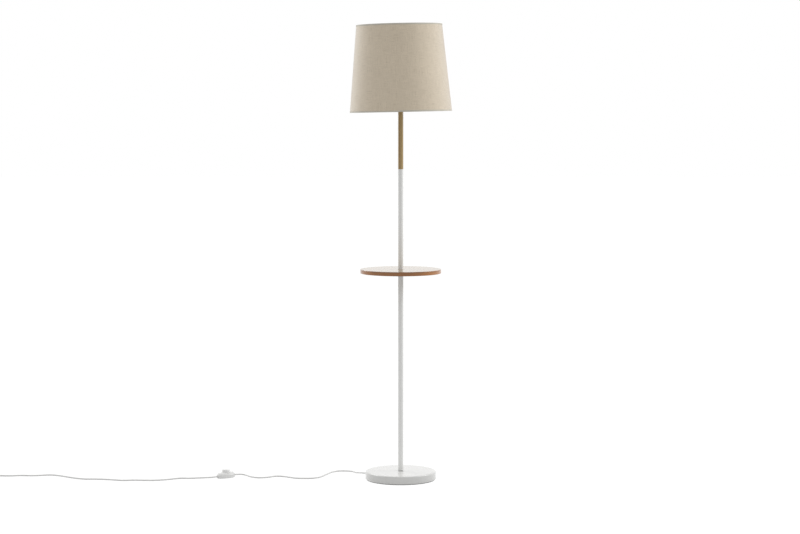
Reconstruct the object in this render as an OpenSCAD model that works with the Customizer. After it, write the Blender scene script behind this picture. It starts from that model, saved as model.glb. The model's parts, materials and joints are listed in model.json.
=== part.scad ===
// Floor lamp with a round side table. A weighted disc base carries a slim white tube,
// the tube carries a wooden table and ends in a wooden rod, and the rod carries the
// lampholder with its cone shade. The lead leaves the base, runs through a foot switch
// and ends in a flat two-pin plug.
// Millimetres, +Z up, origin on the floor at the pole's axis. The camera side is -Y.

/* [Base] */
// Diameter of the base
base_d = 242; // [200:1:320]
// Height of the base with its pad
base_h = 29; // [27:0.5:45]
// Sheet thickness of the base cover
cover_wall = 1.5; // [1:0.1:2]
// Radius of the cover's top edge
cover_edge_r = 5; // [3:0.5:8]
// Width of the lip that is turned in under the weight
cover_lip_w = 5; // [3:0.5:8]
// Thickness of the pad under the base
pad_t = 2; // [1.5:0.25:4]
// How far the pad stays inside the base's edge
pad_inset = 3; // [1:0.5:10]
// Direction in which the lead leaves the base, in degrees from +X
lead_angle = 150; // [100:1:200]

/* [Pole] */
// Outside diameter of the white tubes
tube_d = 18; // [15:0.5:22]
// Wall of the white tubes
tube_wall = 1.2; // [0.8:0.1:1.5]
// Thickness of the ring between the base and the pole
foot_t = 1.5; // [1:0.25:4]
// Height where the white tube ends and the wooden rod starts
wood_z = 1066; // [950:1:1150]
// Length of the wooden rod
wood_len = 202; // [150:1:260]
// Diameter of the wooden rod
wood_d = 18; // [15:0.5:22]
// Outside diameter of the threaded nipples
nipple_d = 10; // [9:0.5:11]
// Bore of the nipples and the wooden rod, for the lead
nipple_bore = 7.6; // [6.5:0.1:8]
// How far a nipple goes into a tube end
screw_in = 14; // [10:1:20]

/* [Table] */
// Height of the table's top above the floor
table_z = 725; // [500:1:900]
// Diameter of the table
table_d = 277; // [220:1:360]
// Thickness of the table
table_t = 14; // [12:0.5:20]
// Rounding of the table's edges
table_edge_r = 1.5; // [0.5:0.25:4]
// Diameter of the steel flange under the table
flange_d = 64; // [50:1:90]
// Thickness of the flange
flange_t = 3; // [2.5:0.5:5]
// Diameter of the circle of the flange's screws
flange_pcd = 46; // [36:1:48]

/* [Lampholder] */
// Diameter of the lampholder's threaded skirt
holder_d = 38; // [36:0.5:42]
// Height of the lampholder's cap
cap_h = 22; // [20:0.5:28]
// Height of the lampholder's skirt
skirt_h = 36; // [34:0.5:44]
// Height of the shade's seat above the cap
seat_up = 10; // [8:0.5:12]
// Diameter of the collar that the shade sits on
collar_d = 46; // [44:0.5:52]
// Outside diameter of the ring that holds the shade down
shade_ring_d = 57; // [54:0.5:62]
// Height of that ring
shade_ring_h = 12; // [8:0.5:14]

/* [Shade] */
// Outside diameter at the shade's lower rim
shade_bottom_d = 348; // [300:1:420]
// Outside diameter at the shade's upper rim
shade_top_d = 292; // [240:1:360]
// Height of the shade
shade_h = 295; // [220:1:360]
// Thickness of the fabric on its stiff backing
shade_wall = 1.2; // [0.8:0.1:2]
// Height of the folded hems
hem_h = 5; // [3:0.5:9]
// How far the hems stand out
hem_t = 0.5; // [0.3:0.1:1]
// How far the lower rim lies below the seat
spider_drop = 39; // [25:1:60]
// Diameter of the shade's wires
wire_d = 3; // [2.5:0.25:5]
// Lean of the shade towards -X in degrees, as it sits in the photograph
shade_lean = 1.2; // [0:0.1:2]

/* [Bulb] */
// Diameter of the bulb
bulb_d = 60; // [45:1:60]
// Length of the bulb with its cap
bulb_len = 110; // [100:1:120]
// Outside diameter of the bulb's screw cap
bulb_cap_d = 26.2; // [26:0.1:26.4]

/* [Lead] */
// Diameter of the lead
cord_d = 5; // [4:0.25:6]
// Length of the strain relief outside the base
relief_len = 20; // [20:1:40]
// Turns of the coil that is put away
coil_turns = 4.25; // [2.25:1:6.25]
// Free space between the turns of the coil
coil_gap = 0.6; // [0.5:0.1:2]

/* [Foot switch] */
// Length of the switch housing
switch_len = 66; // [64:1:100]
// Width of the switch housing
switch_w = 36; // [34:1:50]
// Height of the switch housing
switch_h = 19.5; // [16:0.5:24]
// Wall of the switch housing
switch_wall = 2; // [1.5:0.1:2.5]
// Diameter of the foot button
button_d = 26; // [20:0.5:28]
// How far the button stands above the housing
button_up = 10; // [5:0.5:12]
// Travel of the button
button_travel = 3; // [2:0.25:3.5]

/* [Plug] */
// Width of the plug's body
plug_w = 35.3; // [34:0.1:36]
// Thickness of the plug's body
plug_t = 13.7; // [13:0.1:14.5]
// Length of the plug's body
plug_len = 36; // [32:1:42]
// Diameter of the plug's pins
pin_d = 4; // [3.8:0.1:4.1]
// Length of the plug's pins
pin_len = 19; // [17:0.5:20]
// Distance between the pins
pin_gap = 19; // [17:0.1:20]

/* [Hidden] */

$fn = 96;

WHITE = [0.93, 0.93, 0.92];
OAK = [0.80, 0.63, 0.42];
LINEN = [0.80, 0.76, 0.68];
STEEL = [0.62, 0.63, 0.65];
BRASS = [0.78, 0.66, 0.38];
CEMENT = [0.62, 0.61, 0.58];
GREY = [0.45, 0.45, 0.45];
DARK = [0.14, 0.14, 0.14];
LEAD = [0.90, 0.90, 0.89];
OPAL = [0.97, 0.97, 0.95];
BOARD = [0.90, 0.90, 0.85];
BLUE = [0.15, 0.35, 0.65];
BROWN = [0.42, 0.26, 0.14];

// Clearances
press = 0.02;      // pieces that are pressed or screwed together
slip = 0.1;        // a piece that only passes through a hole
turn = 0.1;        // faces that turn against each other
rest = 0.3;        // pieces that lie beside each other
over = 1;          // how far a cutting shape reaches past a face

// Base
base_r = base_d / 2;
cover_bottom_r = 1.5;
cover_top = base_h - cover_wall;
cover_floor = pad_t + cover_wall;
washer_d = 40;
washer_t = 1;
nut_af = 14;
nut_t = 3;
nipple_below = 0.5;                                  // thread that shows under the nut
nipple_z0 = cover_top - washer_t - nut_t - nipple_below;
weight_bore_d = washer_d + 8;
relief_neck_d = 7;
relief_flange_d = 8.4;
relief_flange_t = 2;
relief_collar_d = 10.5;
relief_collar_t = 2;
relief_edge = 0.8;                                   // chamfer of the strain relief's collar
relief_tip_d = cord_d + 1.6;
lead_z = cover_floor + relief_flange_d / 2 + rest;   // height of the lead where it leaves the base
lead_bend_r = nipple_z0 - lead_z;
relief_back = sqrt(pow(base_r - cover_wall, 2) - pow(relief_flange_d / 2, 2)) - slip / 2;
relief_tip = base_r + relief_len;
channel_w = relief_flange_d + 2;

// Pole and table
pole_z0 = base_h + foot_t;
foot_d = tube_d - 0.8;
table_bottom = table_z - table_t;
flange_z0 = table_bottom - flange_t;
plug_r = tube_d / 2 - tube_wall - press;
flange_screw_d = 3.5;
flange_screw_head_d = 7;
flange_screw_head_t = 2;
flange_screw_point = 2;
flange_screw_len = flange_t + table_t - 2 * flange_screw_point;
flange_screw_count = 3;

// Lampholder
holder_z = wood_z + wood_len;
cap_floor = 4;
cap_foot_d = 24;
cap_wall = 2.2;
cap_shoulder = 13;                                   // height where the cap reaches its full width
spigot_h = 5;
skirt_z = holder_z + cap_h;
skirt_top = skirt_z + skirt_h;
seat_z = skirt_z + seat_up;
collar_t = 2.5;
thread_pitch = 2;
thread_depth = 0.7;
skirt_wall = 3.7;
insert_d = holder_d - 2 * (skirt_wall + slip);
socket_d = bulb_cap_d + 0.7;
insert_z0 = skirt_z - 3;
insert_floor = skirt_z + 5;
insert_top = skirt_top - 4;
contact_up = 1.5;
contact_d = 8;
rivet_d = 4;
tail = 2;                                            // how far both contacts reach under the insert
tongue_x = 10;                                       // the side contact: its place, width and thickness
tongue_w = 4;
tongue_t = 1.2;
lead_top = holder_z + cap_floor + 9;
core_d = 2;
core_apart = 1.2;                                    // from the lead's axis to each core's
ring_flange_t = 3;
ring_barrel_t = 5;
ring_rib_d = 1.6;
ring_ribs = 24;

// Shade
fitter_d = 56;
fitter_bore_d = holder_d + 3;
fitter_t = 2;
fitter_z = seat_z + turn;
shade_z = seat_z - spider_drop;
shade_slope = (shade_bottom_d - shade_top_d) / 2 / shade_h;
wire_up = wire_d / 2 + 1;
arm_count = 3;
arm_d = wire_d - 0.4;                                // the arms are a little thinner than the hoops
arm_in_r = fitter_d / 2 - wire_d;
arm_in_z = fitter_z;
function shade_r(up) = shade_bottom_d / 2 - shade_slope * up;
function wire_r(up) = shade_r(up) - shade_wall - wire_d / 2 - slip;

// Bulb, measured up from its foot
bulb_z = insert_floor + contact_up + rest;
bulb_cap_z = 4;
bulb_cap_len = 23;
bulb_cap_wall = 0.7;
bulb_pitch = 3.6;
bulb_groove = 0.5;
bulb_bore_r = bulb_cap_d / 2 - bulb_groove - bulb_cap_wall;
bulb_mouth_r = bulb_cap_d / 2 - 3.6;                 // hole in the foot of the screw cap
insulator_d = 11;
eyelet_d = 9.5;
eyelet_t = 1;
eyelet_pin_d = 3;
bulb_r = bulb_d / 2;
bulb_mid = bulb_len - bulb_r;
bulb_seam = bulb_mid - 16;
bulb_wall = 1.2;
bulb_lip = 0.4;                                      // how far the housing stands out at both ends
bulb_spigot = 8;
bulb_seam_r = sqrt(pow(bulb_r, 2) - pow(bulb_mid - bulb_seam, 2));
board_down = 3;                                      // from the seam to the board's seat
board_t = 1.6;

// Foot switch: its place on the floor, then its inside
switch_x = -604;
switch_y = 30;
switch_angle = 35;
switch_power = 2.3;                                  // how square the outline is
switch_split = 8;                                    // height of the seam
switch_cord_z = 7;
switch_mouth_d = 10.4;
switch_mouth_out = 2;
switch_mouth_in = 3 * switch_wall;
switch_shoulder = 0.62;                              // where the cover's top starts to close, of its height
switch_shoulder_z = switch_split + (switch_h - switch_split) * switch_shoulder;
switch_top_in = 8;                                   // how far the flat top stays inside the outline
button_flange_t = 2;
button_flange_w = 2;
button_flange_z = switch_h - switch_wall - rest - button_flange_t;
stem_d = 8;
bridge_t = 0.8;
bridge_gap = 0.2;                                    // left above the contacts with the button down
contact_t = 0.6;
contact_w = 4;
contact_in = 1.5;                                    // from the middle to each contact's inner end
contact_tab = 3;
contact_reach = switch_len / 4 - 0.5;
stem_z0 = switch_wall + contact_t + bridge_gap + bridge_t + button_travel;
button_edge_r = 2.5;
button_dome = 1;
seat_h = 2;
spring_d = 12;
spring_wire = 0.9;
spring_turns = 5;
spring_seat_d = spring_d + 3;
spring_z0 = switch_wall + seat_h;
spring_h = button_flange_z - spring_z0;
switch_screw_d = 2.5;
switch_screw_head_d = 4.5;
switch_screw_head_t = 1.1;
switch_screw_head_z = 0.4;
switch_post_d = 6;
switch_post_x = switch_len / 2 - 12;
switch_post_y = 9.5 - switch_w / 2;
clamp_in = 8;                                        // length of lead inside the housing's mouth
core_y = spring_d / 2 + 4;

// Coil that is put away to the left, and the plug beside it
coil_at = [-1445, 22];
coil_pitch = cord_d + coil_gap;
coil_mean_r = 5.5 * cord_d;
coil_r = coil_mean_r + coil_pitch * coil_turns / 4;
coil_run = 18;
plug_z = plug_t / 2;
plug_relief_len = 22;
plug_relief_ribs = 5;
plug_relief_grow = 0.25;                             // how much each rib is larger in radius than the last
plug_neck_w = 13;
plug_neck_t = 10.5;
plug_front = plug_relief_len + plug_len;
plug_at = [coil_at[0] - coil_r, coil_at[1] - coil_run];
pin_in = 8;
sleeve_d = pin_d - 0.1;
sleeve_len = pin_len / 2;
pin_core_d = pin_d - 1.4;

// The lead's route on the floor, by hand: base to foot switch, then foot switch to coil
route_to_switch = [
    [-156, 104, 4.5], [-171, 136, 3], [-196, 148, 2.5], [-221, 145, 2.5], [-240, 124, 2.5],
    [-251, 98, 2.5], [-261, 71, 2.5], [-270, 44, 2.5], [-284, 17, 2.5], [-306, 2, 2.5],
    [-333, 0, 2.5], [-361, 4, 2.5], [-382, 20, 2.5], [-412, 41, 2.5], [-437, 40, 2.5],
    [-461, 20, 2.5], [-490, 13, 2.5], [-519, 30, 3], [-535, 50, 4.5], [-553, 57, 6.5]];
route_to_coil = [
    [-654, -1, 6], [-724, 0, 3], [-761, 2, 2.5], [-811, -28, 2.5], [-858, -38, 2.5],
    [-910, -34, 2.5], [-955, -38, 2.5], [-1009, -21, 2.5], [-1047, -14, 2.5], [-1093, -11, 2.5],
    [-1139, 17, 2.5], [-1180, 50, 2.5], [-1220, 67, 2.5], [-1272, 54, 2.5], [-1318, 57, 2.5],
    [-1359, 49, 2.5], [-1400, 54, 2.5]];
route_step = 22;                                     // about the distance between two rings
lead_straight = 13;                                  // how far the lead runs straight out of the base

function polar(r, a, z) = [r * cos(a), r * sin(a), z];
function on_switch(d) =
    [switch_x + d * cos(switch_angle), switch_y + d * sin(switch_angle), switch_cord_z];
function arc(x, y, r, from, to, steps = 8) =
    [for (i = [0 : steps]) let(a = from + (to - from) * i / steps) [x + r * cos(a), y + r * sin(a)]];
// A rounded rise from the point (r0, z0) to the point (r1, z1), where it stands upright
function bowl(r0, z0, r1, z1, steps = 6) =
    [for (i = [0 : steps]) let(a = 80 * (i / steps - 1)) [r0 + (r1 - r0) * cos(a), z1 + (z1 - z0) * sin(a)]];
// Ridges of a thread as closed rings: from radius r, going up from z0 to z1
function ridges(r, depth, pitch, z0, z1) =
    [for (i = [0 : floor((z1 - z0) / pitch) - 1]) let(z = z0 + i * pitch)
        each [[r, z], [r - depth, z + pitch / 4], [r - depth, z + pitch / 2], [r, z + pitch * 3 / 4]]];

// A smooth curve through the points p, with about step between its points
function spline_point(p, i, t) =
    let(a = p[max(i - 1, 0)], b = p[i], c = p[i + 1], d = p[min(i + 2, len(p) - 1)])
    (2 * b + (c - a) * t + (2 * a - 5 * b + 4 * c - d) * t * t + (3 * b - a - 3 * c + d) * t * t * t) / 2;
function spline(p, step) = concat(
    [for (i = [0 : len(p) - 2]) let(n = max(1, round(norm(p[i + 1] - p[i]) / step)))
        for (k = [0 : n - 1]) spline_point(p, i, k / n)],
    [p[len(p) - 1]]);
function path_length(p, i = 1) = i == len(p) ? 0 : norm(p[i] - p[i - 1]) + path_length(p, i + 1);
// The least gap of a tube of diameter d to itself, past the points that are its own neighbours
function self_gap(p, d, skip) =
    min([for (i = [0 : len(p) - 1 - skip]) min([for (j = [i + skip : len(p) - 1]) norm(p[i] - p[j])])]) - d;

// A round tube of triangles along the path p, which never runs along up
module swept(p, d, sides, up = [0, 0, 1]) {
    last = len(p) - 1;
    rings = [for (i = [0 : last])
        let(along = p[min(i + 1, last)] - p[max(i - 1, 0)], t = along / norm(along),
            s = cross(t, up) / norm(cross(t, up)), u = cross(s, t))
        for (k = [0 : sides - 1]) p[i] + d / 2 * (cos(360 * k / sides) * s + sin(360 * k / sides) * u)];
    skin = [for (i = [0 : last - 1]) for (k = [0 : sides - 1])
        let(a = i * sides + k, b = i * sides + (k + 1) % sides)
        each [[a, b, b + sides], [a, b + sides, a + sides]]];
    near = [for (k = [1 : sides - 2]) [0, k + 1, k]];
    far = [for (face = near) last * sides * [1, 1, 1] + [face[0], face[2], face[1]]];
    polyhedron(points = rings, faces = concat(skin, near, far));
}

module tube(d, bore, z0, z1) {
    translate([0, 0, z0]) difference() {
        cylinder(d = d, h = z1 - z0);
        translate([0, 0, -over]) cylinder(d = bore, h = z1 - z0 + 2 * over);
    }
}

// ---- Base ----

module at_exit() { rotate([0, 0, lead_angle]) children(); }

module base_pad() {
    color(DARK) cylinder(d = base_d - 2 * pad_inset, h = pad_t, $fn = 180);
}

module base_cover() {
    inner = base_r - cover_wall;
    edge_z = base_h - cover_edge_r;
    color(WHITE) difference() {
        rotate_extrude($fn = 180) polygon(concat(
            [[inner - cover_lip_w, cover_floor], [inner - cover_lip_w, pad_t]],
            arc(base_r - cover_bottom_r, pad_t + cover_bottom_r, cover_bottom_r, -90, 0, 4),
            arc(base_r - cover_edge_r, edge_z, cover_edge_r, 0, 90),
            [[nipple_d / 2 + slip, base_h], [nipple_d / 2 + slip, cover_top]],
            arc(base_r - cover_edge_r, edge_z, cover_edge_r - cover_wall, 90, 0),
            [[inner, cover_floor]]));
        at_exit() translate([base_r - 3 * cover_wall, 0, lead_z])
            rotate([0, 90, 0]) cylinder(d = relief_neck_d + 2 * slip, h = 6 * cover_wall);
    }
}

module base_weight() {
    outer = base_r - cover_wall - rest;
    low = cover_floor + slip;
    high = cover_top - rest;
    color(CEMENT) difference() {
        rotate_extrude($fn = 180) polygon([
            [weight_bore_d / 2, low], [outer, low], [outer, base_h - cover_edge_r - rest],
            [base_r - cover_edge_r - rest, high], [weight_bore_d / 2, high]]);
        at_exit() translate([0, -channel_w / 2, 0])
            cube([base_r, channel_w, lead_z + channel_w / 2]);
    }
}

module base_washer() {
    color(STEEL) tube(washer_d, nipple_d + 2 * slip, cover_top - washer_t, cover_top);
}

module base_nut() {
    color(BRASS) translate([0, 0, cover_top - washer_t - nut_t]) difference() {
        cylinder(d = nut_af / cos(30), h = nut_t, $fn = 6);
        translate([0, 0, -over]) cylinder(d = nipple_d + 2 * press, h = nut_t + 2 * over);
    }
}

module base_nipple() {
    color(STEEL) tube(nipple_d, nipple_bore, nipple_z0, pole_z0 + screw_in);
}

// A collar outside the cover, a neck in its wall, a flange behind it and a tapered sleeve
module lead_relief() {
    bore_r = cord_d / 2 + slip;
    front = base_r + press;
    top = front + relief_collar_t;
    color(WHITE) at_exit() translate([0, 0, lead_z]) rotate([0, 90, 0]) rotate_extrude() polygon([
        [bore_r, relief_back - relief_flange_t], [relief_flange_d / 2, relief_back - relief_flange_t],
        [relief_flange_d / 2, relief_back], [relief_neck_d / 2, relief_back],
        [relief_neck_d / 2, front], [relief_collar_d / 2, front],
        [relief_collar_d / 2, top], [relief_neck_d / 2 + relief_edge, top + relief_edge],
        [relief_tip_d / 2, relief_tip], [bore_r, relief_tip]]);
}

// ---- Pole ----

module pole_foot() {
    color(GREY) tube(foot_d, nipple_d + 2 * slip, base_h, pole_z0);
}

module lower_tube() {
    color(WHITE) tube(tube_d, tube_d - 2 * tube_wall, pole_z0, flange_z0);
}

module middle_tube() {
    color(WHITE) tube(tube_d, tube_d - 2 * tube_wall, table_z, wood_z);
}

// Threaded plugs in both ends of both tubes
module tube_plugs() {
    color(STEEL) for (z = [pole_z0, flange_z0 - screw_in, table_z, wood_z - screw_in])
        tube(2 * plug_r, nipple_d + 2 * press, z, z + screw_in);
}

module table_nipple() {
    color(STEEL) tube(nipple_d, nipple_bore, flange_z0 - screw_in, table_z + screw_in);
}

module joint_nipple() {
    color(STEEL) tube(nipple_d, nipple_bore, wood_z - screw_in, wood_z + screw_in);
}

module top_nipple() {
    color(STEEL) tube(nipple_d, nipple_bore, holder_z - screw_in, holder_z + cap_floor + 3);
}

module wood_rod() {
    color(OAK) difference() {
        tube(wood_d, nipple_bore, wood_z, holder_z);
        for (z = [wood_z - over, holder_z - screw_in])
            translate([0, 0, z]) cylinder(d = nipple_d + 2 * press, h = screw_in + over);
    }
}

// The lead inside the object: along the base, round the bend and up the pole
module pole_lead() {
    color(LEAD) at_exit() union() {
        translate([0, 0, lead_z + lead_bend_r]) cylinder(d = cord_d, h = lead_top - lead_z - lead_bend_r);
        translate([lead_bend_r, 0, lead_z + lead_bend_r]) rotate([90, 0, 0]) rotate([0, 0, 180])
            rotate_extrude(angle = 90) translate([lead_bend_r, 0]) circle(d = cord_d, $fn = 48);
        translate([lead_bend_r, 0, lead_z]) rotate([0, 90, 0])
            cylinder(d = cord_d, h = relief_tip - lead_bend_r);
    }
}

// ---- Table ----

module at_flange_screws() {
    for (i = [0 : flange_screw_count - 1])
        rotate([0, 0, 90 + i * 360 / flange_screw_count])
            translate([flange_pcd / 2, 0, flange_z0]) children();
}

module table_flange() {
    color(STEEL) difference() {
        tube(flange_d, nipple_d + 2 * slip, flange_z0, table_bottom);
        at_flange_screws() {
            translate([0, 0, -over]) cylinder(d = flange_screw_d + 2 * slip, h = flange_t + 2 * over);
            translate([0, 0, -press]) cylinder(
                d1 = flange_screw_head_d + 4 * slip, d2 = flange_screw_d, h = flange_screw_head_t + 2 * slip);
        }
    }
}

module flange_screws() {
    color(STEEL) at_flange_screws() rotate_extrude() polygon([
        [0, 0], [flange_screw_head_d / 2, 0], [flange_screw_d / 2, flange_screw_head_t],
        [flange_screw_d / 2, flange_screw_len - flange_screw_point], [0, flange_screw_len]]);
}

module table_top() {
    r = table_d / 2 - table_edge_r;
    bore_r = nipple_d / 2 + slip;
    color(OAK) difference() {
        rotate_extrude($fn = 180) polygon(concat(
            [[bore_r, table_bottom]],
            arc(r, table_bottom + table_edge_r, table_edge_r, -90, 0, 5),
            arc(r, table_z - table_edge_r, table_edge_r, 0, 90, 5),
            [[bore_r, table_z]]));
        at_flange_screws() cylinder(d = flange_screw_d + 2 * press, h = flange_screw_len + rest);
    }
}

// ---- Lampholder ----

module holder_cap() {
    outer = holder_d / 2;
    foot = cap_foot_d / 2;
    edge = 1;
    bore_r = nipple_d / 2 + press;
    color(WHITE) translate([0, 0, holder_z]) rotate_extrude() polygon(concat(
        [[bore_r, 0], [foot - edge, 0], [foot, edge]],
        bowl(foot, 2 * edge, outer, cap_shoulder),
        [[outer, cap_h], [outer - cap_wall, cap_h], [outer - cap_wall, cap_shoulder],
         [foot - cap_wall, cap_floor], [bore_r, cap_floor]]));
}

module holder_skirt() {
    outer = holder_d / 2;
    bore_r = insert_d / 2 + slip;
    spigot_r = outer - cap_wall - slip;
    root = outer - thread_depth;
    color(WHITE) rotate_extrude() polygon(concat(
        [[bore_r, skirt_z - spigot_h], [spigot_r, skirt_z - spigot_h], [spigot_r, skirt_z],
         [outer, skirt_z], [outer, seat_z - collar_t], [collar_d / 2, seat_z - collar_t],
         [collar_d / 2, seat_z], [root, seat_z]],
        ridges(outer, thread_depth, thread_pitch, seat_z + 1, skirt_top - 1),
        [[root, skirt_top - 0.5], [root, skirt_top], [bore_r, skirt_top]]));
}

module holder_insert() {
    depth = insert_floor - insert_z0 + 2 * over;
    color(WHITE) difference() {
        translate([0, 0, insert_z0]) cylinder(d = insert_d, h = insert_top - insert_z0);
        translate([0, 0, insert_floor]) cylinder(d = socket_d, h = insert_top - insert_floor + over);
        translate([0, 0, insert_z0 - over]) cylinder(d = rivet_d + 2 * press, h = depth);
        translate([tongue_x, -tongue_w / 2 - press, insert_z0 - over])
            cube([tongue_t + 2 * press, tongue_w + 2 * press, depth]);
    }
}

// The centre contact on its rivet, and the side contact's tongue
module holder_contacts() {
    z0 = insert_z0 - tail;
    color(BRASS) {
        translate([0, 0, z0]) cylinder(d = rivet_d, h = insert_floor - z0);
        translate([0, 0, insert_floor]) cylinder(d = contact_d, h = contact_up);
        translate([tongue_x + press, -tongue_w / 2, z0])
            cube([tongue_t, tongue_w, bulb_z + bulb_cap_z - rest - z0]);
    }
}

// The two cores from the lead's end to the contacts' tails
module holder_cores() {
    z1 = insert_z0 - tail;
    for (end = [[-core_apart, 0, BLUE], [core_apart, tongue_x + tongue_t / 2, BROWN]])
        color(end[2]) swept([[end[0], 0, lead_top], [end[0], 0, lead_top + core_d / 2],
            [end[1], 0, z1 - core_d / 2], [end[1], 0, z1]], core_d, 8, [0, 1, 0]);
}

module shade_ring() {
    z0 = fitter_z + fitter_t + turn;
    z1 = z0 + shade_ring_h;
    bore_r = holder_d / 2 + slip;
    barrel_r = holder_d / 2 + ring_barrel_t;
    edge = 1;
    color(WHITE) union() {
        rotate_extrude() polygon([
            [bore_r, z0], [shade_ring_d / 2, z0], [shade_ring_d / 2, z0 + ring_flange_t - edge],
            [shade_ring_d / 2 - edge, z0 + ring_flange_t], [barrel_r, z0 + ring_flange_t],
            [barrel_r, z1 - edge], [barrel_r - edge, z1], [bore_r, z1]]);
        for (i = [0 : ring_ribs - 1]) rotate([0, 0, i * 360 / ring_ribs])
            translate([barrel_r, 0, z0 + ring_flange_t - edge / 2])
                cylinder(d = ring_rib_d, h = z1 - z0 - ring_flange_t - edge / 2, $fn = 24);
    }
}

// ---- Shade, leaning about the middle of its seat ----

module lean() {
    translate([0, 0, seat_z]) rotate([0, -shade_lean, 0]) translate([0, 0, -seat_z]) children();
}

module hoop(r, z) {
    translate([0, 0, z]) rotate_extrude($fn = 120) translate([r, 0]) circle(d = wire_d, $fn = 24);
}

// The fitter, its three arms and the lower hoop are welded into one piece
module shade_spider() {
    out_r = wire_r(wire_up);
    fall = arm_in_z - shade_z - wire_up;
    run = out_r - arm_in_r;
    color(WHITE) union() {
        tube(fitter_d, fitter_bore_d, fitter_z, fitter_z + fitter_t);
        lean() {
            hoop(out_r, shade_z + wire_up);
            for (i = [0 : arm_count - 1]) rotate([0, 0, 90 + i * 360 / arm_count])
                translate([arm_in_r, 0, arm_in_z]) rotate([0, 90 + atan(fall / run), 0])
                    cylinder(d = arm_d, h = norm([run, fall]), $fn = 32);
        }
    }
}

module shade_top_wire() {
    up = shade_h - wire_up;
    color(WHITE) lean() hoop(wire_r(up), shade_z + up);
}

module shade_fabric() {
    top = shade_h - hem_h;
    color(LINEN) lean() translate([0, 0, shade_z]) rotate_extrude($fn = 180) polygon([
        [shade_r(0) - shade_wall, 0], [shade_r(0), 0], [shade_r(hem_h), hem_h],
        [shade_r(hem_h) - hem_t, hem_h], [shade_r(top) - hem_t, top], [shade_r(top), top],
        [shade_r(shade_h), shade_h], [shade_r(shade_h) - shade_wall, shade_h]]);
}

// ---- Bulb ----

module bulb_cap() {
    r = bulb_cap_d / 2;
    top = bulb_cap_z + bulb_cap_len;
    foot_top = bulb_cap_z + bulb_cap_wall;
    color(STEEL) translate([0, 0, bulb_z]) rotate_extrude() polygon(concat(
        [[bulb_mouth_r + bulb_cap_wall, bulb_cap_z], [r - 1, bulb_cap_z + 1]],
        ridges(r, bulb_groove, bulb_pitch, bulb_cap_z + 2, top - 2),
        [[r, top - 1], [r, top], [bulb_bore_r, top], [bulb_bore_r, foot_top + 1], [bulb_mouth_r, foot_top],
         [bulb_mouth_r, bulb_cap_z]]));
}

module bulb_insulator() {
    top = bulb_cap_z + 2 * eyelet_t;
    color(DARK) translate([0, 0, bulb_z]) difference() {
        translate([0, 0, eyelet_t])
            cylinder(d1 = insulator_d, d2 = 2 * (bulb_mouth_r - slip), h = top - eyelet_t);
        cylinder(d = eyelet_pin_d + 2 * press, h = top + over);
    }
}

module bulb_eyelet() {
    color(BRASS) translate([0, 0, bulb_z]) {
        cylinder(d1 = eyelet_d - 2 * eyelet_t, d2 = eyelet_d, h = eyelet_t - press);
        cylinder(d = eyelet_pin_d, h = bulb_cap_z + 1.5 * eyelet_t);
    }
}

module bulb_housing() {
    neck = bulb_cap_z + bulb_cap_len;
    neck_r = bulb_cap_d / 2 + bulb_lip;
    spigot_r = bulb_bore_r - press;
    shelf = bulb_seam - board_down;
    color(WHITE) translate([0, 0, bulb_z]) rotate_extrude() polygon([
        [spigot_r - bulb_wall, neck - bulb_spigot], [spigot_r, neck - bulb_spigot], [spigot_r, neck + press],
        [neck_r, neck + press], [neck_r + bulb_lip, neck + 4], [bulb_seam_r + bulb_lip, bulb_seam],
        [bulb_seam_r - bulb_wall, bulb_seam], [bulb_seam_r - bulb_wall, shelf],
        [bulb_seam_r - 3 * bulb_wall, shelf], [spigot_r - bulb_wall, neck + 4]]);
}

module bulb_board() {
    color(BOARD) translate([0, 0, bulb_z + bulb_seam - board_down + press])
        cylinder(r = bulb_seam_r - bulb_wall - slip, h = board_t);
}

module bulb_dome() {
    low = asin((bulb_seam - bulb_mid) / bulb_r);
    inner_r = bulb_r - bulb_wall;
    inner_low = asin((bulb_seam - bulb_mid) / inner_r);
    color(OPAL) translate([0, 0, bulb_z + press]) rotate_extrude() polygon(concat(
        arc(0, bulb_mid, bulb_r, low, 90, 20), arc(0, bulb_mid, inner_r, 90, inner_low, 20)));
}

// ---- Foot switch, in its own frame: along X, its foot at z 0 ----

module at_switch() { translate([switch_x, switch_y, 0]) rotate([0, 0, switch_angle]) children(); }

// An oval that is the squarer the higher its power is, 2 being an ellipse
function oval(length, width, power, steps = 40) =
    [for (i = [0 : steps - 1])
        let(a = 360 * (i + 0.5) / steps, c = cos(a), s = sin(a),
            r = pow(pow(abs(c) * 2 / length, power) + pow(abs(s) * 2 / width, power), -1 / power))
        [r * c, r * s]];

module slab(inset, z0, h) {
    translate([0, 0, z0]) linear_extrude(h)
        polygon(oval(switch_len - 2 * inset, switch_w - 2 * inset, switch_power));
}

// The cover's outer skin, and drawn in by inset the hollow inside it
module switch_dome(inset) {
    thin = 0.01;
    hull() {
        slab(inset, switch_split + press - inset, 1 + inset);
        slab(switch_top_in / 2 - 1 + inset, switch_shoulder_z - inset / 2, thin);
        slab(switch_top_in + inset / 2, switch_h - inset - thin, thin);
    }
}

// The lead's way through the whole housing
module switch_way() {
    translate([-switch_len, 0, switch_cord_z]) rotate([0, 90, 0])
        cylinder(d = cord_d + 2 * slip, h = 2 * switch_len, $fn = 48);
}

// Both mouths of the housing: what lies between z0 and z1 of a round sleeve
module mouths(z0, z1) {
    intersection() {
        for (side = [0, 180]) rotate([0, 0, side])
            translate([switch_len / 2 - switch_mouth_in, 0, switch_cord_z]) rotate([0, 90, 0])
                cylinder(d = switch_mouth_d, h = switch_mouth_in + switch_mouth_out, $fn = 48);
        translate([-switch_len, -switch_w, z0]) cube([2 * switch_len, 2 * switch_w, z1 - z0]);
    }
}

module at_switch_screws() {
    for (side = [-1, 1]) translate([side * switch_post_x, switch_post_y, 0]) children();
}

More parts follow.
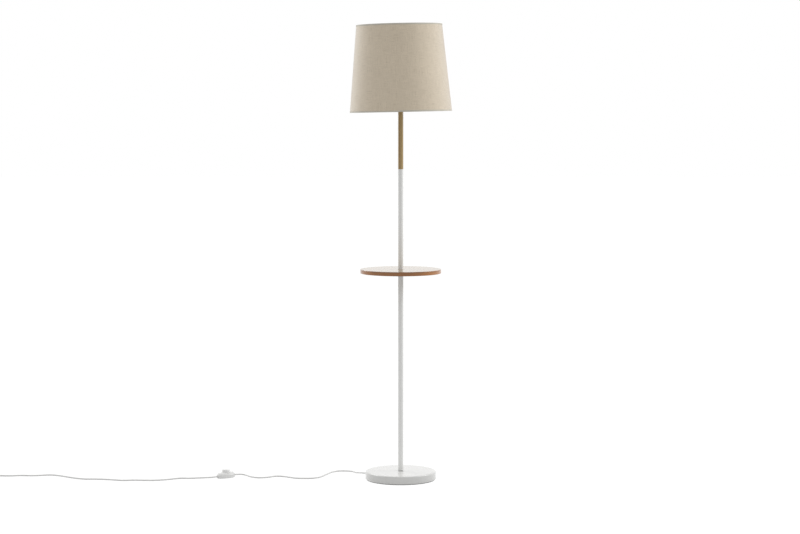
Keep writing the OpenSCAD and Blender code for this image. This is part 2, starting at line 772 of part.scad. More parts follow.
module switch_base() {
    slot = contact_w + 4 * slip;
    sink = switch_screw_head_z + switch_screw_head_t;
    color(WHITE) at_switch() difference() {
        union() {
            difference() {
                slab(0, 0, switch_split);
                slab(switch_wall, switch_wall, switch_split);
            }
            mouths(switch_wall, switch_split);
            at_switch_screws() cylinder(d = switch_post_d, h = switch_split, $fn = 48);
            cylinder(d = spring_seat_d, h = spring_z0, $fn = 48);
        }
        switch_way();
        at_switch_screws() translate([0, 0, -over]) {
            cylinder(d = switch_screw_d + 2 * press, h = switch_split + 2 * over);
            cylinder(d = switch_screw_head_d + 2 * slip, h = sink + over);
        }
        translate([0, 0, switch_wall]) cylinder(d = stem_d + 12 * slip, h = switch_split, $fn = 48);
        translate([-switch_len / 4, -slot / 2, switch_wall]) cube([switch_len / 2, slot, switch_split]);
    }
}

module switch_cover() {
    color(WHITE) at_switch() difference() {
        union() {
            switch_dome(0);
            mouths(switch_split + press, switch_h - switch_wall);
        }
        difference() {
            switch_dome(switch_wall);
            at_switch_screws() cylinder(d = switch_post_d, h = switch_h, $fn = 48);
        }
        cylinder(d = button_d + 2 * rest, h = switch_h + over);
        translate([0, 0, switch_split - over]) cylinder(
            d = button_d + 2 * button_flange_w + 2 * rest, h = switch_h - switch_split + over - switch_wall);
        switch_way();
        at_switch_screws() cylinder(d = switch_screw_d + 2 * press, h = switch_shoulder_z);
    }
}

module switch_screws() {
    point = switch_shoulder_z - over;
    color(STEEL) at_switch() at_switch_screws() rotate_extrude($fn = 32) polygon([
        [0, switch_screw_head_z], [switch_screw_head_d / 2, switch_screw_head_z],
        [switch_screw_head_d / 2, switch_screw_head_z + switch_screw_head_t],
        [switch_screw_d / 2, switch_screw_head_z + switch_screw_head_t], [switch_screw_d / 2, point],
        [0, point]]);
}

// Two brass strips that the bridge joins when the button is down
module switch_contacts() {
    color(BRASS) at_switch() for (side = [0, 180]) rotate([0, 0, side])
        translate([0, -contact_w / 2, switch_wall]) {
            translate([contact_in, 0, 0]) cube([contact_reach - contact_in, contact_w, contact_t]);
            translate([contact_reach - contact_t, 0, 0]) cube([contact_t, contact_w, contact_tab]);
        }
}

// The live cores end at the strips, and the neutral core runs past the button
module switch_cores() {
    z = switch_cord_z - 0.5;
    start = switch_len / 2 - clamp_in - rest;
    square = start - 1.5;                            // up to here a core is square to the lead's end
    half = [[start, core_apart, z], [square, core_apart, z], [square - 4, core_y - 1, z],
        [square - 8, core_y, z]];
    other_half = [for (i = [len(half) - 1 : -1 : 0]) [-half[i][0], half[i][1], z]];
    live = [[start, -core_apart, z], [square, -core_apart, z], [square - 2, -core_apart, z - 1],
        [contact_reach + rest, -core_apart, z - 2]];
    color(BLUE) at_switch() swept(concat(half, other_half), core_d, 8);
    color(BROWN) at_switch() for (side = [-1, 1])
        swept([for (p = live) [side * p[0], p[1], p[2]]], core_d, 8);
}

spring_path = [for (i = [0 : spring_turns * 8]) polar((spring_d - spring_wire) / 2, i * 45,
    spring_z0 + spring_wire / 2 + (spring_h - spring_wire) * i / (spring_turns * 8))];

module switch_spring() {
    color(STEEL) at_switch() swept(spring_path, spring_wire * 0.98, 6);
}

module switch_bridge() {
    color(BRASS) at_switch() translate([0, 0, stem_z0 - bridge_t]) cylinder(d = stem_d, h = bridge_t);
}

module switch_button() {
    r = button_d / 2;
    top = switch_h + button_up;
    color(WHITE) at_switch() rotate_extrude() polygon(concat(
        [[0, stem_z0], [stem_d / 2, stem_z0], [stem_d / 2, button_flange_z],
         [r + button_flange_w, button_flange_z], [r + button_flange_w, button_flange_z + button_flange_t],
         [r, button_flange_z + button_flange_t]],
        arc(r - button_edge_r, top - button_dome - button_edge_r, button_edge_r, 0, 70, 6),
        [[r / 2, top - 0.35 * button_dome], [0, top]]));
}

// ---- The free lead, from the base to the plug ----

coil_start = [coil_at[0] + cord_d, coil_at[1] + coil_r, cord_d / 2];
cord_a = spline(concat(
    [for (r = [relief_tip, relief_tip + lead_straight]) polar(r, lead_angle, lead_z)], route_to_switch,
    [for (d = [switch_mouth_out, -clamp_in]) on_switch(switch_len / 2 + d)]), route_step);
cord_b = spline(concat(
    [for (d = [-clamp_in, switch_mouth_out]) on_switch(-switch_len / 2 - d)], route_to_coil,
    [coil_start + [2 * cord_d, 0, 0], coil_start]), route_step);

// The coil spirals in and out again in two layers and climbs in the half turn between
coil_steps = 24;                                     // rings to a turn
function climb(t) = let(u = min(1, max(0, (t - coil_turns / 2) * 2 + 0.5))) u * u * (3 - 2 * u);
function coil_point(t) = [coil_at[0], coil_at[1], 0]
    + polar(coil_r - coil_pitch * min(t, coil_turns - t), 90 + 360 * t, cord_d / 2 + coil_pitch * climb(t));
coil_loops = [for (i = [0 : coil_steps * coil_turns]) coil_point(i / coil_steps)];
cord_c = concat(
    [coil_start], coil_loops,
    [[plug_at[0], plug_at[1] + coil_run * 0.6, cord_d / 2 + coil_pitch],
     [plug_at[0], plug_at[1] + cord_d, plug_z], [plug_at[0], plug_at[1], plug_z]]);

echo(coil_gap_to_itself = self_gap(coil_loops, cord_d, 10));
echo(spring_gap_to_itself = self_gap(spring_path, spring_wire, 6));
echo(rings_of_the_free_lead = len(cord_a) + len(cord_b));
echo(length_of_the_free_lead = path_length(cord_a) + path_length(cord_b) + path_length(cord_c)
    + switch_len - 2 * clamp_in);

module cord_to_switch() { color(LEAD) swept(cord_a, cord_d, 8); }
module cord_to_coil() { color(LEAD) swept(cord_b, cord_d, 8); }
module cord_coil() { color(LEAD) swept(cord_c, cord_d, 6); }

// ---- Plug, in its own frame: along X from the lead to the pins ----

module at_plug() { translate([plug_at[0], plug_at[1], plug_z]) rotate([0, 0, -90]) children(); }
module at_pins() { for (side = [-1, 1]) translate([plug_front, side * pin_gap / 2, 0]) children(); }

module plug_relief() {
    r0 = cord_d / 2 + 0.7;
    rib = 4;
    groove = 0.5;
    color(LEAD) at_plug() rotate([0, 90, 0]) rotate_extrude($fn = 48) polygon(concat(
        [[0, 0], [r0 - groove, 0]],
        [for (i = [0 : plug_relief_ribs - 1]) let(r = r0 + i * plug_relief_grow, z = 1 + i * rib)
            each [[r, z], [r, z + rib / 2], [r - groove, z + rib / 2 + 0.3], [r - groove, z + rib - 0.3]]],
        [[r0 + plug_relief_ribs * plug_relief_grow, plug_relief_len], [0, plug_relief_len]]));
}

module plug_slice(x, w, t) {
    translate([x, 0, 0]) rotate([90, 0, 90]) linear_extrude(0.01) polygon(oval(w, t, 4, 32));
}

module plug_body() {
    x0 = plug_relief_len + press;
    color(LEAD) at_plug() difference() {
        hull() {
            plug_slice(x0, plug_neck_w, plug_neck_t);
            plug_slice(x0 + plug_len * 0.35, plug_w * 0.62, plug_t * 0.95);
            plug_slice(x0 + plug_len * 0.72, plug_w, plug_t);
            plug_slice(plug_front - 0.01, plug_w, plug_t);
        }
        at_pins() translate([-pin_in, 0, 0]) rotate([0, 90, 0])
            cylinder(d = pin_d + 2 * press, h = pin_in + over, $fn = 48);
    }
}

// Insulating sleeves over the first half of the pins
module plug_sleeves() {
    color(DARK) at_plug() at_pins() translate([press - pin_in, 0, 0]) rotate([0, 90, 0])
        tube(sleeve_d, pin_core_d + 2 * press, 0, pin_in + sleeve_len, $fn = 48);
}

module plug_pins() {
    core_r = pin_core_d / 2;
    step = sleeve_len + 2 * press;
    color(STEEL) at_plug() at_pins() rotate([0, 90, 0]) rotate_extrude($fn = 48) polygon(concat(
        [[0, 2 * press - pin_in], [core_r, 2 * press - pin_in], [core_r, step], [pin_d / 2, step]],
        arc(pin_d / 2 - 1, pin_len - 1, 1, 0, 90, 5),
        [[0, pin_len]]));
}

base_pad();
base_cover();
base_weight();
base_washer();
base_nut();
base_nipple();
lead_relief();
pole_foot();
lower_tube();
tube_plugs();
table_flange();
flange_screws();
table_nipple();
table_top();
middle_tube();
joint_nipple();
wood_rod();
top_nipple();
pole_lead();
holder_cap();
holder_skirt();
holder_insert();
holder_contacts();
holder_cores();
shade_ring();
shade_spider();
shade_top_wire();
shade_fabric();
bulb_cap();
bulb_insulator();
bulb_eyelet();
bulb_housing();
bulb_board();
bulb_dome();
cord_to_switch();
switch_base();
switch_cover();
switch_screws();
switch_contacts();
switch_cores();
switch_spring();
switch_bridge();
switch_button();
cord_to_coil();
cord_coil();
plug_relief();
plug_body();
plug_sleeves();
plug_pins();
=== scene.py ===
"""Looks of a floor lamp with a round side table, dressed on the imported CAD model.

Metres, +Z up. The origin lies on the floor at the pole's axis, and the photograph looks along +Y.
Outlines and sizes inside a piece's own function are in millimetres. A turned piece's outline is
written as (radius, height).
"""
import json
import math

import bmesh
import bpy
import numpy as np
from mathutils import Matrix, Vector


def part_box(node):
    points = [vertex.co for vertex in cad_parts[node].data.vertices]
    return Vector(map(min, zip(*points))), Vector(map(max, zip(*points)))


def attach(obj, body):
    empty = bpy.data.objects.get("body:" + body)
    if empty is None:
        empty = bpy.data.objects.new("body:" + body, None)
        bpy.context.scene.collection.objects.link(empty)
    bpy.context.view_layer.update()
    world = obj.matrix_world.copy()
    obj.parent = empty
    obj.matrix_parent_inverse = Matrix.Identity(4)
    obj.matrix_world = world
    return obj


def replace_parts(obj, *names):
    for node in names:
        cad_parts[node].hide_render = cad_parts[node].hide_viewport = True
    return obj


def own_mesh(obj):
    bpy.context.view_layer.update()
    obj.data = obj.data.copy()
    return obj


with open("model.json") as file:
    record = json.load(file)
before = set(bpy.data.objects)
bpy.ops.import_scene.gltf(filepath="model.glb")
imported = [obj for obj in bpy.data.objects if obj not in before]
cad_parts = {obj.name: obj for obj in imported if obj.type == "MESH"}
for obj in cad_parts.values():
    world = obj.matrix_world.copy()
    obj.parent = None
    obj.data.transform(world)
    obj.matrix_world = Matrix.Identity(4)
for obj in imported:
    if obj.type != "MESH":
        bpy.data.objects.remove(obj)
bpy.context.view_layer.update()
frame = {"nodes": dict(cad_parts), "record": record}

MM = 0.001
TURN = 2 * math.pi
QUARTER = math.radians(90)

# ---- Camera -----------------------------------------------------------------------------

CAMERA_AT = (-0.0024, -7.182, 1.286)
CAMERA_DOWN = 4.41                  # degrees that it looks down
CAMERA_LENS = 94.88                 # mm, for a picture SENSOR_W wide
SENSOR_W = 36


def new_object(name, data):
    """An object in the scene that shows this mesh, curve, lamp or camera."""
    made = bpy.data.objects.new(name, data)
    bpy.context.scene.collection.objects.link(made)
    return made


def add_camera():
    """The photograph's view: a long lens 7.2 m in front, a little above the shade's lower rim."""
    data = bpy.data.cameras.new("camera")
    data.sensor_width = SENSOR_W
    data.lens = CAMERA_LENS
    camera = new_object("camera", data)
    camera.location = CAMERA_AT
    camera.rotation_euler = (math.radians(90 - CAMERA_DOWN), 0, 0)
    bpy.context.scene.camera = camera


# ---- Shader nodes -----------------------------------------------------------------------


def node(tree, kind, inputs=(), out=0, **settings):
    """Adds a shader node and returns one of its outputs. Inputs are values or other outputs."""
    made = tree.nodes.new("ShaderNode" + kind)
    for key, value in settings.items():
        setattr(made, key, value)
    for key, value in dict(inputs).items():
        if isinstance(value, bpy.types.NodeSocket):
            tree.links.new(value, made.inputs[key])
        else:
            made.inputs[key].default_value = value
    return made.outputs[out]


def maths(tree, operation, *values, clamp=False):
    return node(tree, "Math", dict(enumerate(values)), operation=operation, use_clamp=clamp)


def mixed(tree, factor, a, b, blend="MIX"):
    """Two colours mixed by factor."""
    sockets = {0: factor, 6: a, 7: b}
    return node(tree, "Mix", sockets, out=2, data_type="RGBA", blend_type=blend)


def multiplied(tree, a, b):
    """Two colours multiplied."""
    return mixed(tree, 1.0, a, b, "MULTIPLY")


def grey(value):
    return (value, value, value, 1)


def rgb(*values):
    return (*values, 1)


def scaled(colour, gain):
    """A colour of three values, made lighter or darker."""
    return rgb(*[value * gain for value in colour])


def ramp(tree, factor, *stops):
    """A colour ramp through stops of (place, colour)."""
    made = tree.nodes.new("ShaderNodeValToRGB")
    tree.links.new(factor, made.inputs[0])
    elements = made.color_ramp.elements
    while len(elements) < len(stops):
        elements.new(1)
    for element, (place, colour) in zip(elements, stops):
        element.position = place
        element.color = colour
    return made.outputs[0]


def noise(tree, where, scale, detail=2, stretch=(1, 1, 1), rough=0.5, distort=0):
    """Noise whose features are about 1/scale wide, drawn out by stretch."""
    place = node(tree, "Mapping", {"Vector": where, "Scale": [scale * s for s in stretch]})
    return node(tree, "TexNoise", {
        "Vector": place, "Scale": 1, "Detail": detail, "Roughness": rough, "Distortion": distort})


def split(tree, vector):
    """The three parts of a vector."""
    return [node(tree, "SeparateXYZ", {0: vector}, out=k) for k in range(3)]


def bumped(tree, height, depth, under=None):
    """The normal of a surface whose height runs over depth, in metres."""
    inputs = {"Height": height, "Strength": 1, "Distance": depth}
    if under is not None:
        inputs["Normal"] = under
    return node(tree, "Bump", inputs)


def object_place(tree):
    return node(tree, "TexCoord", out="Object")


def shader(name, build, **constants):
    """A material on one Principled shader, whose own sockets hold the constants. build adds the
    other nodes and returns the inputs that they feed."""
    material = bpy.data.materials.new(name)
    material.use_nodes = True
    tree = material.node_tree
    principled = tree.nodes["Principled BSDF"]
    for key, value in constants.items():
        principled.inputs[key.replace("_", " ")].default_value = value
    for key, socket in build(tree).items():
        tree.links.new(socket, principled.inputs[key])
    return material


# ---- Plastic, paint, metal, cement and board --------------------------------------------


def moulded(name, colour, rough, grain=1.2, depth=0.01, uneven=0.03, **constants):
    """Plastic, paint or rubber: bumps grain wide and depth high in mm, uneven in tone by that share."""
    patches_per_m = 14
    rough_spread = 0.1

    def build(tree):
        place = object_place(tree)
        fine = noise(tree, place, 1 / (grain * MM), 3)
        broad = noise(tree, place, patches_per_m, 4)
        tone = ramp(tree, broad, (0.3, scaled(colour, 1 - uneven)), (0.7, scaled(colour, 1 + uneven)))
        roughness = maths(tree, "MULTIPLY_ADD", broad, rough_spread, rough - rough_spread / 2)
        return {"Base Color": tone, "Roughness": roughness, "Normal": bumped(tree, fine, depth * MM)}

    return shader(name, build, **constants)


def plated(name, colour, rough):
    """Bare metal with fine tool marks round Z and a faint tarnish."""
    marks_per_m = (60, 60, 900)
    mark_depth = 0.02 * MM
    stains_per_m, tarnish = 120, 0.82
    rough_spread = 0.25

    def build(tree):
        place = object_place(tree)
        marks = noise(tree, place, 1, 3, marks_per_m)
        stain = noise(tree, place, stains_per_m, 4)
        tone = ramp(tree, stain, (0.35, scaled(colour, tarnish)), (0.6, rgb(*colour)))
        roughness = maths(tree, "MULTIPLY_ADD", marks, rough_spread, rough - 0.4 * rough_spread)
        return {"Base Color": tone, "Roughness": roughness, "Normal": bumped(tree, marks, mark_depth)}

    return shader(name, build, Metallic=1.0)


def cast(name, colour):
    """Rough cement with pits and darker and lighter sand."""
    sand_per_m, sand_depth = 900, 0.15 * MM
    pits_per_m, pit_depth = 260, 0.4 * MM
    dark = scaled(colour, 0.7)

    def build(tree):
        place = object_place(tree)
        sand = noise(tree, place, sand_per_m, 4)
        pits = ramp(tree, noise(tree, place, pits_per_m, 2), (0.3, grey(0)), (0.42, grey(1)))
        tone = ramp(tree, sand, (0.3, dark), (0.7, rgb(*colour)))
        return {"Base Color": mixed(tree, pits, dark, tone),
                "Normal": bumped(tree, pits, pit_depth, bumped(tree, sand, sand_depth))}

    return shader(name, build, Roughness=0.9)


def board_face(name):
    """The bulb's white circuit board, its varnish a little cloudy."""
    clouds_per_m = 300
    cloudy, clear = rgb(0.78, 0.79, 0.74), rgb(0.84, 0.84, 0.8)

    def build(tree):
        clouds = noise(tree, object_place(tree), clouds_per_m, 2)
        return {"Base Color": ramp(tree, clouds, (0.3, cloudy), (0.7, clear))}

    return shader(name, build, Roughness=0.45)


# ---- Linen ------------------------------------------------------------------------------


def thread_height(tree, across, pitch):
    """How high threads lie that are pitch apart: 1 at the middle of each and 0 between them."""
    wave = maths(tree, "SINE", maths(tree, "MULTIPLY", across, math.pi / pitch))
    return maths(tree, "ABSOLUTE", wave)


def palest(light, dark):
    """The palest threads' colour: a little past light, seen from dark."""
    gain, past = 1.06, 0.1
    return rgb(*[min(1, a * gain + (a - b) * past) for a, b in zip(light[:3], dark[:3])])


def linen(name, light, dark, pitch=0.62, **constants):
    """A plain weave of uneven threads, pitch mm apart. The UV map is in metres, round the shade and up."""
    drifts_per_m, drift = 45, 2.4 * MM
    weft_slubs, warp_slubs, across = 32, 26, 700    # thick places per metre of a thread, and across it
    clouds_per_m = 11
    relief = 0.11 * MM

    def build(tree):
        place = node(tree, "TexCoord", out="UV")
        wander = maths(tree, "MULTIPLY", noise(tree, place, drifts_per_m, 2), drift)
        u, v = (maths(tree, "ADD", part, wander) for part in split(tree, place)[:2])
        cells = node(tree, "TexChecker", {
            "Vector": node(tree, "CombineXYZ", {0: u, 1: v, 2: 0.5}), "Scale": 1 / (pitch * MM)}, out="Fac")
        over = maths(tree, "MULTIPLY", thread_height(tree, u, pitch * MM), cells)
        under = maths(tree, "MULTIPLY", thread_height(tree, v, pitch * MM), maths(tree, "SUBTRACT", 1, cells))
        weave = maths(tree, "ADD", over, under)
        weft = noise(tree, place, 1, 4, (weft_slubs, across, 1), 0.6)
        warp = noise(tree, place, 1, 4, (across, warp_slubs, 1), 0.6)
        slub = maths(tree, "MULTIPLY", maths(tree, "ADD", weft, warp), 0.5)
        tone = ramp(tree, slub, (0.36, dark), (0.5, light), (0.66, palest(light, dark)))
        cloudy = ramp(tree, noise(tree, place, clouds_per_m, 3), (0.3, grey(0.975)), (0.7, grey(1)))
        # Painted shade in the grooves between the threads.
        gap_shade = ramp(tree, weave, (0.0, grey(0.72)), (0.45, grey(1)))
        height = maths(tree, "MULTIPLY_ADD", slub, 1.3, weave)
        return {"Base Color": multiplied(tree, multiplied(tree, tone, cloudy), gap_shade),
                "Normal": bumped(tree, height, relief)}

    return shader(name, build, Roughness=0.88, Specular_IOR_Level=0.25, **constants)


# ---- Oak --------------------------------------------------------------------------------

OAK_LIGHT = rgb(0.441, 0.308, 0.131)
OAK_MID = rgb(0.360, 0.233, 0.088)
OAK_DARK = rgb(0.234, 0.138, 0.046)
PORE_GREY = 0.05
OAK_PORE = rgb(*[(value + PORE_GREY) / 2 for value in OAK_DARK[:3]])


def oak(name, grain_axis, rings_per_m=46, relief=0.03, stave=None, band=None):
    """Lacquered oak: growth rings, fibres and open pores along grain_axis, the pores relief mm deep.
    stave is the width of its staves, if it has them, and band(tree, tone, place) dresses its edge."""
    ring_scales = (1.6, rings_per_m, rings_per_m)   # features per metre along the grain and across it
    fibre_scales = (5, 300, 300)
    pore_scales = (45, 1500, 1500)
    ring_share, fibre_share = 0.62, 0.45            # of each in the wood's figure
    pore_tint = 0.45

    def build(tree):
        place = object_place(tree)
        x, y, z = split(tree, place)
        along, side, up = (x, y, z) if grain_axis == "X" else (z, x, y)
        if stave:
            along, up, luck = in_staves(tree, along, side, up, stave)
        grain = node(tree, "CombineXYZ", {0: along, 1: side, 2: up})
        rings = noise(tree, grain, 1, 5, ring_scales, rough=0.55, distort=0.6)
        fibres = noise(tree, grain, 1, 4, fibre_scales, rough=0.6)
        pores = noise(tree, grain, 1, 2, pore_scales)
        figure = maths(tree, "MULTIPLY_ADD", fibres, fibre_share, maths(tree, "MULTIPLY", rings, ring_share))
        tone = ramp(tree, figure, (0.44, OAK_DARK), (0.51, OAK_MID), (0.58, OAK_LIGHT))
        closed = ramp(tree, pores, (0.30, grey(0)), (0.37, grey(1)))
        tone = mixed(tree, maths(tree, "MULTIPLY_ADD", closed, -pore_tint, pore_tint), tone, OAK_PORE)
        if stave:
            tone = glued(tree, tone, side, luck, stave)
        if band:
            tone = band(tree, tone, place)
        height = maths(tree, "MULTIPLY_ADD", closed, 0.8, maths(tree, "MULTIPLY", fibres, 0.5))
        roughness = maths(tree, "MULTIPLY_ADD", rings, 0.12, 0.3)
        return {"Base Color": tone, "Roughness": roughness, "Normal": bumped(tree, height, relief * MM)}

    return shader(name, build, Coat_Weight=1.0, Coat_Roughness=0.1, Specular_IOR_Level=0.15)


def in_staves(tree, along, side, up, stave):
    """Each stave's place in its own log, and its luck, from 0 to 1."""
    log_length, log_depth = 7.0, 0.9
    index = maths(tree, "FLOOR", maths(tree, "DIVIDE", side, stave))
    luck = node(tree, "TexWhiteNoise", {"W": index}, noise_dimensions="1D")
    along = maths(tree, "MULTIPLY_ADD", luck, log_length, along)
    up = maths(tree, "MULTIPLY_ADD", luck, log_depth, up)
    return along, up, luck


def glued(tree, tone, side, luck, stave):
    """Staves beside each other, each with its own shade and a fine dark joint between them."""
    darkest, joint_half, joint_tint = 0.86, 0.25 * MM, 0.4
    tone = multiplied(tree, tone, ramp(tree, luck, (0, grey(darkest)), (1, grey(1))))
    joint = maths(tree, "LESS_THAN", maths(tree, "PINGPONG", side, stave / 2), joint_half)
    return mixed(tree, maths(tree, "MULTIPLY", joint, joint_tint), tone, OAK_DARK)


def table_band(tree, tone, place):
    """The redder strip round the table's edge, duller at its top and uneven all round."""
    strip, strip_top = rgb(0.385, 0.145, 0.026), rgb(0.30, 0.12, 0.035)
    strip_r = table_high.x - 1.5 * MM               # it starts here and is full 1 mm further out
    top_z = table_high.z - 5 * MM                   # its top starts here and is full 2 mm higher
    x, y, z = split(tree, place)
    square = maths(tree, "ADD", maths(tree, "MULTIPLY", x, x), maths(tree, "MULTIPLY", y, y))
    away = maths(tree, "SQRT", square)
    on_strip = maths(tree, "MULTIPLY_ADD", away, 1 / MM, -strip_r / MM, clamp=True)
    on_top = maths(tree, "MULTIPLY_ADD", z, 0.5 / MM, -top_z * 0.5 / MM, clamp=True)
    streaks = ramp(tree, noise(tree, place, 1, 3, (60, 60, 500)), (0.3, grey(0.8)), (0.7, grey(1.08)))
    patches = ramp(tree, noise(tree, place, 4, 1), (0.35, grey(0.82)), (0.65, grey(1.25)))
    strip_tone = multiplied(tree, mixed(tree, on_top, strip, strip_top), streaks)
    return mixed(tree, on_strip, tone, multiplied(tree, strip_tone, patches))


# ---- Materials --------------------------------------------------------------------------

table_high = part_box("table_top")[1]
PAINT = {
    "white_paint": moulded("white_paint", (0.83, 0.83, 0.815), 0.28, grain=3.0, depth=0.003, uneven=0.012,
                           Coat_Weight=0.3, Coat_Roughness=0.12),
    "cement": cast("cement", (0.50, 0.49, 0.46)),
    "foam_pad": moulded("foam_pad", (0.035, 0.035, 0.035), 0.9, grain=0.5, depth=0.15, uneven=0.1),
    "bare_steel": plated("bare_steel", (0.62, 0.63, 0.65), 0.38),
    "plain_brass": plated("plain_brass", (0.74, 0.56, 0.26), 0.33),
    "oak": oak("oak_rod", "Z", rings_per_m=130),
    "linen": linen("linen", rgb(0.730, 0.630, 0.490), rgb(0.600, 0.505, 0.375),
                   Sheen_Weight=0.8, Sheen_Roughness=0.5),
    "holder_plastic": moulded("holder_plastic", (0.80, 0.80, 0.79), 0.5, grain=0.6, depth=0.012, uneven=0.01),
    "bulb_plastic": moulded("bulb_plastic", (0.82, 0.82, 0.81), 0.45, grain=0.8, depth=0.008, uneven=0.01),
    "bulb_opal": moulded("bulb_opal", (0.86, 0.86, 0.84), 0.38, grain=3.0, depth=0.004, uneven=0.006,
                         Subsurface_Weight=0.3, Subsurface_Scale=0.01),
    "bulb_metal": plated("bulb_metal", (0.72, 0.72, 0.73), 0.3),
    "board": board_face("board"),
    "grey_plastic": moulded("grey_plastic", (0.17, 0.17, 0.17), 0.5, grain=0.7, depth=0.012),
    "lead_pvc": moulded("lead_pvc", (0.76, 0.76, 0.75), 0.42, grain=1.6, depth=0.015, uneven=0.02),
    "core_pvc": moulded("core_pvc", (0.05, 0.16, 0.42), 0.4, grain=0.8, uneven=0.04),
    "switch_plastic": moulded("switch_plastic", (0.84, 0.84, 0.83), 0.3, grain=0.8, uneven=0.012,
                              Coat_Weight=0.2, Coat_Roughness=0.1),
    "black_plastic": moulded("black_plastic", (0.02, 0.02, 0.02), 0.4, grain=0.7, depth=0.012, uneven=0.1),
    "nickel_pins": plated("nickel_pins", (0.70, 0.68, 0.63), 0.25),
}
# The hems' linen, greyer and darker than the shade's own: painted shade along the rolled rims.
SHADED_HEM_LINEN = linen("linen_hem_shaded", rgb(0.600, 0.570, 0.490), rgb(0.470, 0.440, 0.370), pitch=0.55,
                  Sheen_Weight=0.2, Sheen_Roughness=0.4)
LINING = moulded("lining", (0.80, 0.79, 0.75), 0.55, grain=0.9, depth=0.02, uneven=0.02)
TABLE_OAK = oak("oak_table", "X", relief=0.008, stave=46 * MM, band=table_band)
BASE_PAINT = moulded("base_paint", (0.70, 0.70, 0.685), 0.25, grain=3.0, depth=0.003, uneven=0.012,
                     Coat_Weight=0.4, Coat_Roughness=0.1)
BROWN_CORE = moulded("core_brown", (0.16, 0.06, 0.025), 0.4, grain=0.8, uneven=0.04)

# ---- Meshes -----------------------------------------------------------------------------


def softened(outline, radius, steps=3):
    """A closed outline with each corner rounded, as far as its edges are long enough."""
    points = [np.array(p, float) for p in outline]
    made = []
    for i, corner in enumerate(points):
        before, after = points[i - 1] - corner, points[(i + 1) % len(points)] - corner
        long_before, long_after = np.linalg.norm(before), np.linalg.norm(after)
        back = min(radius, 0.45 * long_before, 0.45 * long_after)
        a, b = corner + before / long_before * back, corner + after / long_after * back
        for k in range(steps + 1):
            t = k / steps
            made.append(tuple((1 - t) ** 2 * a + 2 * t * (1 - t) * corner + t * t * b))
    return made


def smooth_line(points, step):
    """A curve through the points, with about step between its own points."""
    p = [np.array(q, float) for q in points]
    made = []
    for i in range(len(p) - 1):
        a, b, c, d = p[max(i - 1, 0)], p[i], p[i + 1], p[min(i + 2, len(p) - 1)]
        count = max(1, round(np.linalg.norm(c - b) / step))
        for t in np.arange(count) / count:
            made.append((2 * b + (c - a) * t + (2 * a - 5 * b + 4 * c - d) * t * t
                         + (3 * b - a - 3 * c + d) * t ** 3) / 2)
    return made + [p[-1]]


def rounded_slice(width, high, steps, power, inward=0):
    """A rounded rectangle's points, as (across, up) from its middle and inward nearer to it."""
    made = []
    for k in range(steps):
        angle = (k + 0.5) / steps * TURN
        c, s = math.cos(angle), math.sin(angle)
        r = ((abs(c) * 2 / width) ** power + (abs(s) * 2 / high) ** power) ** (-1 / power) - inward
        made.append((r * c, r * s))
    return made


def skinned(name, rings, material, body="root", slot=None, closed=False, place=None, sharp=32):
    """A piece with quads between rings of equally many points. A closed piece joins its last ring
    to its first, and an open one has a face over each end. Its UV map is in metres."""
    rings = np.asarray(rings, float)
    count, around = rings.shape[:2]
    girth = np.linalg.norm(np.roll(rings, -1, 1) - rings, axis=2).sum(1).mean()
    climb = np.linalg.norm(np.roll(rings, -1, 0) - rings, axis=2).mean(1)
    up = np.concatenate([[0], np.cumsum(climb)])
    work = bmesh.new()
    corners = [[work.verts.new(p) for p in ring] for ring in rings]
    uv = work.loops.layers.uv.new("surface")
    for i in range(count if closed else count - 1):
        for j in range(around):
            at = [(i, j), (i, j + 1), (i + 1, j + 1), (i + 1, j)]
            face = work.faces.new([corners[a % count][b % around] for a, b in at])
            for loop, (a, b) in zip(face.loops, at):
                loop[uv].uv = (b * girth / around, up[a])
    if not closed:
        work.faces.new(corners[0][::-1])
        work.faces.new(corners[-1])
    bmesh.ops.remove_doubles(work, verts=work.verts, dist=1e-7)
    bmesh.ops.recalc_face_normals(work, faces=work.faces)
    mesh = bpy.data.meshes.new(name)
    work.to_mesh(mesh)
    work.free()
    if place is not None:
        mesh.transform(place)
    mesh.polygons.foreach_set("use_smooth", [True] * len(mesh.polygons))
    mesh.set_sharp_from_angle(angle=math.radians(sharp))
    mesh.materials.append(material)
    made = new_object(name, mesh)
    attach(made, body)
    return made


def turned(name, outline, material, steps=96, grow=None, **settings):
    """A turned solid from its closed outline in mm, which keeps off the axis. grow(z, angle) adds
    to its radius, in mm."""
    angles = np.arange(steps) / steps * TURN
    rings = []
    for r, z in outline:
        radii = r + (np.array([grow(z, a) for a in angles]) if grow else 0 * angles)
        rings.append(np.stack([radii * np.cos(angles), radii * np.sin(angles), z + 0 * angles], 1) * MM)
    return skinned(name, rings, material, closed=True, **settings)


def helix_growth(depth, pitch, low, high, sharpness=2.0):
    """How far a thread stands out at a height and an angle, fading at both its ends."""

    def grow(z, angle):
        inside = min(1, max(0, (z - low) / pitch * 2)) * min(1, max(0, (high - z) / pitch * 2))
        wave = math.sin((z / pitch - angle / TURN) * TURN) * sharpness
        return depth * inside * (0.5 + 0.5 * math.tanh(wave) / math.tanh(sharpness))

    return grow


def steps_between(r, low, high, step):
    """Points straight up a wall, for a thread to be cut into."""
    return [(r, z) for z in np.linspace(low, high, max(2, round((high - low) / step)))]


# ---- The free lead ----------------------------------------------------------------------

